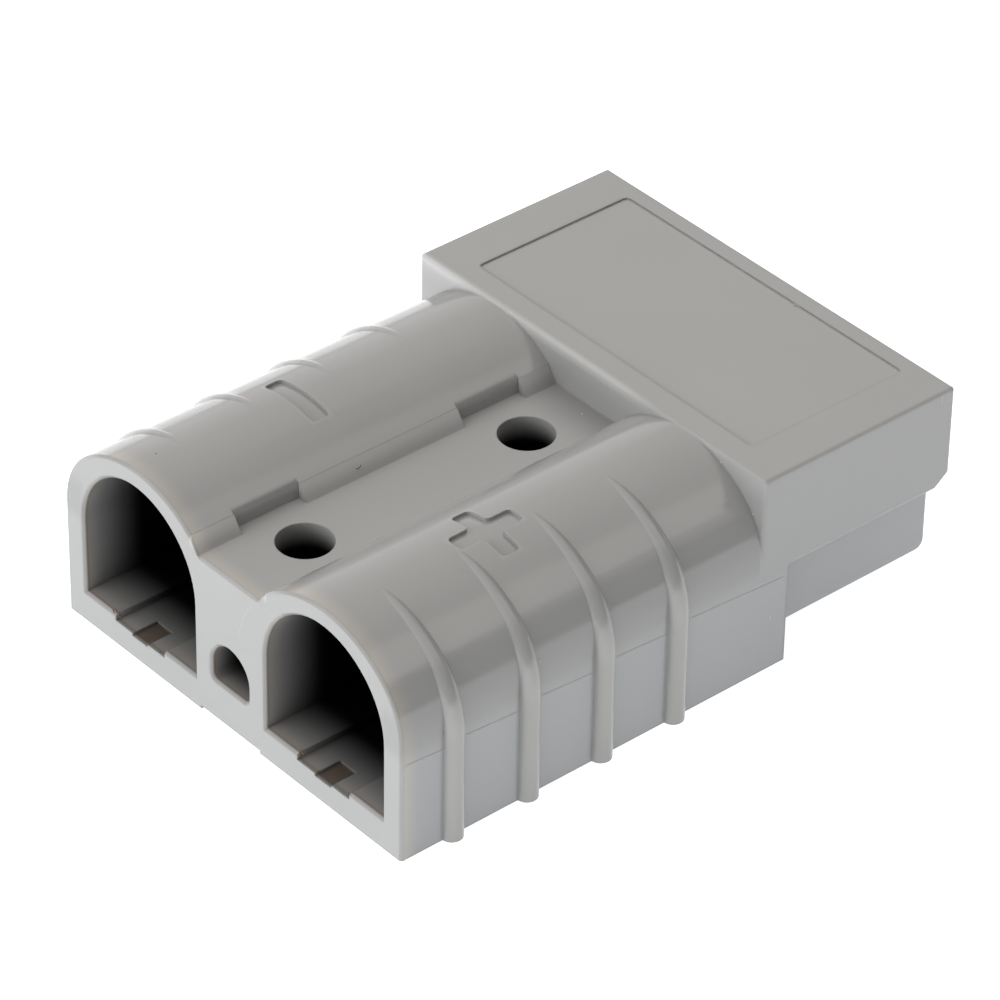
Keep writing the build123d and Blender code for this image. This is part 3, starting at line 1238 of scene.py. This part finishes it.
@dataclass
class CurlSet:
    """Threads of one kind that make one piece."""

    name: str
    curls: tuple[Curl, ...]
    finish: PlainMatt

    def build(self) -> bpy.types.Object:
        """Bends all the threads.

        Returns:
            Their object.
        """
        shape = bmesh.new()
        for curl in self.curls:
            curl.add_to(shape)
        return settle(self.name, shape, self.finish)


@dataclass
class Specks:
    """Small rounded grains that stick to the moulding, their sizes in millimetres."""

    name: str
    places: tuple[Point, ...]
    radius: float
    finish: PlainMatt

    def build(self) -> bpy.types.Object:
        """Sets down every grain, half sunk into the surface.

        Returns:
            The grains' object.
        """
        shape = bmesh.new()
        for place in self.places:
            where = Matrix.Translation(Vector(place) * MM)
            bmesh.ops.create_icosphere(shape, subdivisions=2, radius=self.radius * MM, matrix=where)
        return settle(self.name, shape, self.finish)


@dataclass
class Nicks:
    """Small raised burrs that handling left on the hood's edges.

    Each has its middle and size in millimetres and its turn about +Z in degrees.
    """

    burrs: tuple[tuple[Point, Point, float], ...] = (
        ((-2.2, 23.4, 15.66), (1.0, 0.12, 0.07), 4.0),
        ((3.56, 22.58, 15.61), (0.5, 0.14, 0.14), 20.0),
        ((17.475, 22.85, 15.2), (0.06, 0.1, 0.6), 0.0),
    )
    edge_radius: float = 0.02 * MM
    finish: PlainMatt = PlainMatt("nicked_grey", (0.33, 0.325, 0.315), 0.45)

    def build(self) -> bpy.types.Object:
        """Places each burr and softens its edges.

        Returns:
            The burrs' object.
        """
        shape = bmesh.new()
        for middle, size, angle in self.burrs:
            turn = Matrix.Rotation(radians(angle), 4, "Z")
            scale = Matrix.Diagonal((*(Vector(size) * MM), 1.0))
            place = Matrix.Translation(Vector(middle) * MM) @ turn @ scale
            bmesh.ops.create_cube(shape, size=1.0, matrix=place)
        bmesh.ops.bevel(
            shape,
            geom=shape.edges[:],
            offset=self.edge_radius,
            segments=2,
            profile=0.5,
            affect="EDGES",
            material=-1,
        )
        return settle("hood_nicks", shape, self.finish)


SHAVING = PlainMatt("brown_shaving", (0.13, 0.085, 0.055), 0.7)
PALE_GRAINS = (
    (0.65, 5.76, 12.5),
    (17.35, -12.3, 10.4),
    (17.5, 7.83, 4.27),
    (16.45, 6.8, 12.61),
    (13.21, 6.8, 15.01),
)
DETAILS = (
    PartingLines(),
    CurlSet(
        "rim_shavings",
        (
            Curl((-12.45, -23.96, 2.6), 0.19, 20.0, 240.0, 0.07),
            Curl((-11.98, -23.86, 2.5), 0.15, 150.0, 200.0, 0.07, (70.0, 20.0, 0.0)),
            Curl((-8.73, -23.96, 1.94), 0.12, 0.0, 220.0, 0.06),
            Curl((-7.57, -23.9, 1.9), 0.13, 60.0, 210.0, 0.06, (80.0, -15.0, 0.0)),
            Curl((7.32, -23.9, 2.6), 0.24, 10.0, 250.0, 0.08, (100.0, 10.0, 0.0)),
            Curl((12.3, -23.96, 2.3), 0.15, 80.0, 200.0, 0.06),
        ),
        SHAVING,
    ),
    CurlSet(
        "strip_shaving",
        (Curl((-3.66, -10.3, 13.28), 0.3, 190.0, 170.0, 0.055, (60.0, 0.0, 40.0)),),
        SHAVING,
    ),
    Specks("pale_dust", PALE_GRAINS, 0.05, PlainMatt("pale_dust", (0.62, 0.62, 0.61), 0.6)),
    Specks("dark_dust", ((-10.39, -21.71, 15.6),), 0.06, PlainMatt("dark_dust", (0.09, 0.08, 0.07), 0.6)),
    Nicks(),
)


def main() -> None:
    """Builds the scene piece by piece."""
    logging.basicConfig(level=logging.INFO, format="%(message)s")
    body = HousingDress().dress()
    log.info("dressed %s, %d faces", body.name, len(body.data.polygons))
    for spring in SpringDress().dress():
        log.info("dressed %s", spring.name)
    for detail in DETAILS:
        piece = detail.build()
        log.info("made %s, %d faces", piece.name, len(piece.data.polygons))
    Studio().build()


if __name__ == "__main__":
    main()
